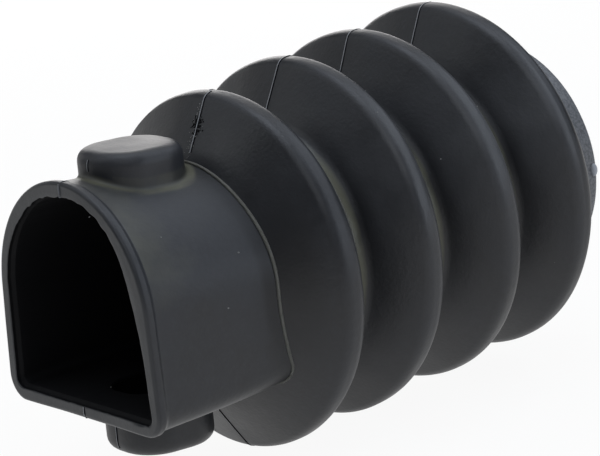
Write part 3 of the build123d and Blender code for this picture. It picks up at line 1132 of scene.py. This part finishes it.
def mark_skin(mesh, sizes, wear):
    """Marks the straight skin with everything that its finish and its small pieces go by."""
    layout, at = Layout(sizes), Places(mesh, sizes)
    mark_residue(mesh, at, layout, sizes, wear)
    mark_lines(mesh, at, layout, sizes)
    mark_scar(mesh, at, layout, sizes, wear)
    write_mark(mesh, "dusty", at.outside)
    cuff_start = -sizes.cuff_reach * CUFF_START
    write_mark(mesh, "cuff", at.outside * ramp(at.x, cuff_start, cuff_start + CUFF_BLEND))
    # settled dust with a painted highlight on the upper flanks of the rear folds
    dust_highlight_start = layout.first_crest + DUST_HIGHLIGHT_START
    dust = ramp(at.x, dust_highlight_start, dust_highlight_start + DUST_HIGHLIGHT_BLEND) * ramp(at.radius, *DUST_HIGHLIGHT_RADII) * near(
        at.turn, DUST_HIGHLIGHT_TURN, DUST_HIGHLIGHT_SPREAD)
    write_mark(mesh, "dust_and_highlight", np.where(at.outside & (at.x < layout.last_crest - DUST_HIGHLIGHT_END), dust, 0))
    # painted shade, darkest part way round from the top and low on the flanks
    shade = near(at.turn, SHADE_TURN, SHADE_SPREAD) * (1 - ramp(at.radius, *SHADE_RADII)) * (
        at.radius > sizes.mouth_arch_radius + SHADE_MARGIN)
    flanks = at.outside & (at.x > layout.first_crest - FLANK_DEPTH) & (at.x < layout.last_crest)
    write_mark(mesh, "shaded", np.where(flanks, shade, 0))


def seam_shift(radius, sizes, wear):
    """How far aside the parting seam lies on the first fold, at a distance from the axis."""
    share = (sizes.crest_radius - radius) / (sizes.crest_radius - sizes.root_arch_radius)
    return mixed(*wear.seam_offset, np.clip(share, 0, 1))


def shift_seam(mesh, sizes, wear):
    """Turns the seam on the front of the first fold aside, as the mismatched mould halves left it."""
    layout = Layout(sizes)
    points = np.array([vertex.co for vertex in mesh.vertices])
    radius = np.hypot(points[:, 1], points[:, 2])
    front = (points[:, 0] < layout.first_crest) & (points[:, 0] > layout.first_crest - FLANK_DEPTH) & (
        points[:, 2] > 0) & (radius > sizes.root_arch_radius + SHIFT_MARGIN)
    turn_by = np.where(front, seam_shift(radius, sizes, wear) / radius, 0)
    y, z = points[:, 1].copy(), points[:, 2].copy()
    points[:, 1] = y * np.cos(turn_by) - z * np.sin(turn_by)
    points[:, 2] = y * np.sin(turn_by) + z * np.cos(turn_by)
    mesh.vertices.foreach_set("co", points.astype(np.float32).ravel())


def distance_to_lugs(points, sizes, layout):
    """How far each point lies outside the rounded plan outline of the lugs."""
    corner = (sizes.lug_width - sizes.lug_end_flat) / 2
    off_x = np.abs(points[:, 0] - layout.lug) - (sizes.lug_length / 2 - corner)
    off_y = np.abs(points[:, 1]) - (sizes.lug_width / 2 - corner)
    reach = np.hypot(np.maximum(off_x, 0), np.maximum(off_y, 0)) + np.minimum(np.maximum(off_x, off_y), 0)
    return reach - corner


class BOOT_OT_skin(bpy.types.Operator):
    """Builds the boot's rubber wall: neck, lugs, folds and cuff in one closed skin"""

    bl_idname = "boot.skin"
    bl_label = "Rubber skin"

    def execute(self, context):
        scene = context.scene
        sizes, wear, finish = scene.boot_sizes, scene.boot_wear, scene.boot_finish
        material = rubber_material(finish)
        mesh = straight_skin(sizes, wear, material)
        mark_skin(mesh, sizes, wear)
        mesh.materials.clear()
        mesh.materials.append(material)
        # the inside's near-black finish is painted shade
        mesh.materials.append(plain_rubber("unlit_inside", finish.inside, INSIDE_ROUGHNESS, INSIDE_SHINE))
        inside = np.array(read_mark(mesh, "inside"))
        mesh.polygons.foreach_set("material_index", [int(inside[list(polygon.vertices)].min() > 0.5)
                                                     for polygon in mesh.polygons])
        mesh.polygons.foreach_set("use_smooth", [True] * len(mesh.polygons))
        put_in_scene("straight_skin", mesh)
        settled = mesh.copy()
        ripple(settled, wear.ripple)
        settle(settled, sizes, wear)
        skin = put_in_scene("rubber_skin", settled)
        finish_piece(skin)
        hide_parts(NODE)
        return {"FINISHED"}


def settled_piece(name, mesh, scene):
    """Lays a mesh that was made on the straight skin where the settled skin now is."""
    settle(mesh, scene.boot_sizes, scene.boot_wear)
    finish_piece(put_in_scene(name, mesh))


class BOOT_OT_flash(bpy.types.Operator):
    """Runs the parting seam over top and underside, and flash round the neck's root and in the valleys"""

    bl_idname = "boot.flash"
    bl_label = "Mould flash"

    def execute(self, context):
        scene = context.scene
        wear, finish = scene.boot_wear, scene.boot_finish
        straight = bpy.data.objects["straight_skin"]
        # the seam's pale flash colour carries a painted highlight
        raised = plain_rubber("flash_painted_highlight", finish.flash, FLASH_ROUGHNESS)
        painted_shade = plain_rubber("painted_shade", finish.painted_shade, PAINTED_SHADE_ROUGHNESS, PAINTED_SHADE_SHINE)
        rim = plain_rubber("root_flash", finish.root_flash, RIM_ROUGHNESS)
        width, root_width = wear.seam_width, wear.root_flash_width
        # the dark line beside the seam is painted shadow of the seam's step
        seam = grown(straight, flash_tree("seam"), {
            "Width": width, "Painted_Shade": (0.0, -width * SHADE_LINE_ASIDE, 0.0), "Sink": width * SEAM_SINK,
            "Material": raised, "Nick Material": painted_shade})
        shift_seam(seam, scene.boot_sizes, wear)
        settled_piece("parting_seam", seam, scene)
        for name, mark, values in (
                ("crown_seam", "crown", {"Width": width, "Material": raised}),
                ("root_flash", "root", {"Width": root_width, "Unevenness": ROOT_UNEVENNESS, "Material": rim}),
                ("valley_flash", "valley", {"Width": root_width * VALLEY_FLASH_SHARE,
                                            "Unevenness": VALLEY_UNEVENNESS, "Material": rim})):
            flash = grown(straight, flash_tree(mark), {**values, "Nick Material": values["Material"]})
            settled_piece(name, flash, scene)
        return {"FINISHED"}


def speck_places(skin):
    """Points on the outside of the straight skin where the plainest specks sit, and those of the painted glints in
    the mouth.
    """
    tree = BVHTree.FromPolygons([vertex.co for vertex in skin.data.vertices],
                                [list(polygon.vertices) for polygon in skin.data.polygons])
    spots = [Vector(glint) for glint in PAINTED_GLINTS]
    for x, angle in SPECKS:
        outward = Vector((0, sin(radians(angle)), cos(radians(angle))))
        spots.append(tree.ray_cast(Vector((x, 0, 0)) + outward * CAST_FROM, -outward)[0])
    mesh = bpy.data.meshes.new("places")
    mesh.from_pydata(spots, [], [])
    return mesh


def put_in_order(parts, place_of):
    """Lists a mesh's points or faces by where they lie, since a new sphere lists its own differently each time."""
    order = {part: number for number, part in enumerate(sorted(parts, key=lambda part: tuple(place_of(part))))}
    parts.sort(key=order.get)


def cuff_tab(sizes, material):
    """The torn-off sprue stub on the side of the cuff's edge."""
    mesh = bpy.data.meshes.new("cuff_tab")
    work = bmesh.new()
    bmesh.ops.create_uvsphere(work, u_segments=24, v_segments=14, radius=1.0)
    side = Matrix.Translation((-TAB_SETBACK, 0, 0)) @ Matrix.Rotation(TAB_TURN, 4, "X")
    laid = side @ Matrix.Translation((0, 0, sizes.cuff_radius)) @ Matrix.Diagonal((*TAB_HALF_SIZES, 1))
    bmesh.ops.transform(work, verts=work.verts, matrix=laid)
    put_in_order(work.verts, lambda vertex: vertex.co)
    put_in_order(work.faces, lambda face: face.calc_center_median())
    for face in work.faces:
        face.smooth = True
    work.to_mesh(mesh)
    work.free()
    mesh.materials.append(material)
    return mesh


class BOOT_OT_crumbs(bpy.types.Operator):
    """Scatters the dust specks and the painted glints, adds the sprue stub, and pits and crumbs the scar on the
    first fold
    """

    bl_idname = "boot.crumbs"
    bl_label = "Specks and crumbs"

    def execute(self, context):
        scene = context.scene
        wear = scene.boot_wear
        straight = bpy.data.objects["straight_skin"]
        dust = plain_rubber("dust", scene.boot_finish.dust, DUST_ROUGHNESS)
        dark, raised = bpy.data.materials["painted_shade"], bpy.data.materials["flash_painted_highlight"]

        def scatter(name, mark, density, size, seed, material):
            settled_piece(name, grown(straight, crumb_tree(mark), {
                "Density": density, "Size": size, "Seed": seed, "Material": material}), scene)

        scatter("dust_specks", "dusty", wear.speck_count * SQUARE_DECIMETRES, wear.speck_size, wear.seed, dust)
        places = put_in_scene("places", speck_places(straight))
        # the set specks carry the painted glints in the mouth too
        settled_piece("set_specks", grown(places, speck_tree(), {
            "Size": wear.speck_size, "Seed": wear.seed, "Material": dust}), scene)
        bpy.data.objects.remove(places)
        # the sprue stub takes the pale flash colour, with its painted highlight
        settled_piece("cuff_tab", cuff_tab(scene.boot_sizes, raised), scene)
        pits, size = wear.scar_pits, wear.pit_size
        # the pits are dark grains: painted shade in them
        scatter("scar_pits", "scar", pits, size, wear.seed, dark)
        scatter("scar_crumbs", "scar", pits * SCAR_CRUMBS, size * SCAR_CRUMB_SIZE, wear.seed + 1, dust)
        scatter("seam_crumbs", "trail", pits * SEAM_CRUMBS, size * SEAM_CRUMB_SIZE, wear.seed + 2, dust)
        bpy.data.objects.remove(straight)
        return {"FINISHED"}


# ---- Floor, lights and camera ----

CAMERA_PLACE = Vector((-0.8632, -0.9375, 0.2882))
CAMERA_RIGHT = Vector((0.74285, -0.65109, -0.15575))
CAMERA_DOWN = Vector((-0.26742, -0.07531, -0.96063))
CAMERA_AHEAD = Vector((0.61373, 0.75526, -0.23006))
CAMERA_LENS, CAMERA_SENSOR = 222.8, 36  # in millimetres
MIDDLE = (-0.1, 0, 0)  # of the boot, where the softboxes point
LAMP_DISTANCE = 1.25
FLOOR_HALF_SIZE, FLOOR_GAP = 4.0, 0.0005  # the floor lies this far below the boot
FLOOR_TINT, FLOOR_ROUGHNESS = (0.9, 0.9, 0.9, 1), 0.9
FLOOR_GLOW, FLOOR_SHEEN = 0.93, 0.9  # how white the camera sees the floor, and the rubber's sheen
WHITE = (1, 1, 1)
COOL = (0.82, 0.89, 1.0)
SKY_TINT, SKY_STRENGTH = (0.8, 0.82, 0.85, 1), 0.04
SOFTBOXES = (  # name, compass and height in degrees, width and height in metres, power in watts, tint
    ("top_softbox", 0, 88, (0.8, 0.8), 5.4, COOL),
    ("right_softbox", 74, 45, (1.3, 0.8), 5.4, COOL),
    ("camera_softbox", 180, 45, (0.8, 0.8), 2.3, (0.9, 0.94, 1)),
    ("left_softbox", 270, 45, (0.8, 0.8), 2.1, (0.92, 0.96, 1)),
    ("low_right_softbox", 112, 14, (1.0, 0.5), 3.2, COOL),
    ("high_back_softbox", 0, 45, (0.8, 0.8), 1.7, WHITE),
    ("low_back_softbox", 0, 14, (0.8, 0.5), 4.3, (1, 0.98, 0.97)),
    ("back_left_softbox", 315, 14, (0.55, 0.55), 0.9, WHITE),
)


def round_the_boot(compass, height):
    """A place round the boot, in degrees: 0 is behind it as the camera sees it, 90 to the right."""
    ahead, right = CAMERA_AHEAD.to_2d().normalized(), CAMERA_RIGHT.to_2d().normalized()
    level = ahead * cos(radians(compass)) + right * sin(radians(compass))
    reach = LAMP_DISTANCE * cos(radians(height))
    return Vector((level.x * reach, level.y * reach, LAMP_DISTANCE * sin(radians(height)))) + Vector(MIDDLE)


def softbox(name, compass, height, size, power, tint):
    """A softbox round the boot that points at its middle."""
    data = bpy.data.lights.new(name, "AREA")
    data.shape = "RECTANGLE"
    data.size, data.size_y = size
    data.energy = power
    data.color = tint
    lamp = put_in_scene(name, data)
    lamp.location = round_the_boot(compass, height)
    lamp.rotation_euler = (Vector(MIDDLE) - lamp.location).to_track_quat("-Z", "Y").to_euler()


def glow(tree, strength):
    return node(tree, "ShaderNodeEmission", {"Color": (*WHITE, 1), "Strength": strength}).outputs[0]


def white_material():
    """White paper floor that keeps a faint shadow and shows pale in the rubber's sheen."""
    material, tree, shader = new_material("white_floor")
    shader.inputs["Base Color"].default_value = FLOOR_TINT
    shader.inputs["Roughness"].default_value = FLOOR_ROUGHNESS
    rays = node(tree, "ShaderNodeLightPath")
    share = times(tree, rays.outputs["Is Camera Ray"], FLOOR_GLOW)
    seen = node(tree, "ShaderNodeMixShader", {0: share, 1: shader, 2: glow(tree, 1.0)})
    last = node(tree, "ShaderNodeMixShader", {
        0: rays.outputs["Is Glossy Ray"], 1: seen, 2: glow(tree, FLOOR_SHEEN)})
    tree.links.new(last.outputs[0], tree.nodes["Material Output"].inputs["Surface"])
    return material


def light_world(scene):
    """A white backdrop for the camera that lights the boot only a little."""
    world = bpy.data.worlds.new("studio")
    scene.world = world
    world.use_nodes = True
    tree = world.node_tree
    dim = tree.nodes["Background"]
    dim.inputs["Color"].default_value = SKY_TINT
    dim.inputs["Strength"].default_value = SKY_STRENGTH
    white = node(tree, "ShaderNodeBackground", {"Color": (*WHITE, 1), "Strength": 1.0})
    rays = node(tree, "ShaderNodeLightPath")
    mix = node(tree, "ShaderNodeMixShader", {
        0: rays.outputs["Is Camera Ray"], 1: dim, 2: white})
    tree.links.new(mix.outputs[0], tree.nodes["World Output"].inputs["Surface"])


def place_camera(scene):
    camera = put_in_scene("camera", bpy.data.cameras.new("camera"))
    camera.data.lens = CAMERA_LENS
    camera.data.sensor_width = CAMERA_SENSOR
    camera.data.clip_start = 0.01
    turn_to = Matrix((CAMERA_RIGHT, -CAMERA_DOWN, -CAMERA_AHEAD)).transposed()
    camera.matrix_world = Matrix.Translation(CAMERA_PLACE) @ turn_to.to_4x4()
    scene.camera = camera


class BOOT_OT_stage(bpy.types.Operator):
    """Sets up the floor, the soft lights and the camera"""

    bl_idname = "boot.stage"
    bl_label = "Stage"

    def execute(self, context):
        scene = context.scene
        low = min(corner[2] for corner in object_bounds())
        mesh = bpy.data.meshes.new("floor")
        work = bmesh.new()
        bmesh.ops.create_grid(work, x_segments=1, y_segments=1, size=FLOOR_HALF_SIZE,
                              matrix=Matrix.Translation((MIDDLE[0], MIDDLE[1], low - FLOOR_GAP)))
        work.to_mesh(mesh)
        work.free()
        mesh.materials.append(white_material())
        floor = put_in_scene("floor", mesh)
        floor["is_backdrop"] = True
        light_world(scene)
        for box in SOFTBOXES:
            softbox(*box)
        place_camera(scene)
        scene.view_settings.view_transform = "Standard"
        return {"FINISHED"}


class BOOT_PT_panel(bpy.types.Panel):
    """Lists the boot's pieces, sizes and finish"""

    bl_idname = "BOOT_PT_panel"
    bl_label = "Bellows Boot"
    bl_space_type = "VIEW_3D"
    bl_region_type = "UI"
    bl_category = "Bellows Boot"

    def draw(self, context):
        column = self.layout.column(align=True)
        for operator in (BOOT_OT_skin, BOOT_OT_flash, BOOT_OT_crumbs, BOOT_OT_stage):
            column.operator(operator.bl_idname)
        for group in (context.scene.boot_sizes, context.scene.boot_wear, context.scene.boot_finish):
            box = self.layout.box()
            for name in group.__annotations__:
                box.prop(group, name)


CLASSES = (BootSizes, BootWear, BootFinish, BOOT_OT_skin, BOOT_OT_flash, BOOT_OT_crumbs, BOOT_OT_stage,
           BOOT_PT_panel)


def register():
    for each in CLASSES:
        bpy.utils.register_class(each)
    bpy.types.Scene.boot_sizes = PointerProperty(type=BootSizes)
    bpy.types.Scene.boot_wear = PointerProperty(type=BootWear)
    bpy.types.Scene.boot_finish = PointerProperty(type=BootFinish)


def unregister():
    for name in ("boot_sizes", "boot_wear", "boot_finish"):
        delattr(bpy.types.Scene, name)
    for each in reversed(CLASSES):
        bpy.utils.unregister_class(each)


def main():
    register()
    bpy.ops.boot.skin()
    bpy.ops.boot.flash()
    bpy.ops.boot.crumbs()
    bpy.ops.boot.stage()


if __name__ == "__main__":
    main()
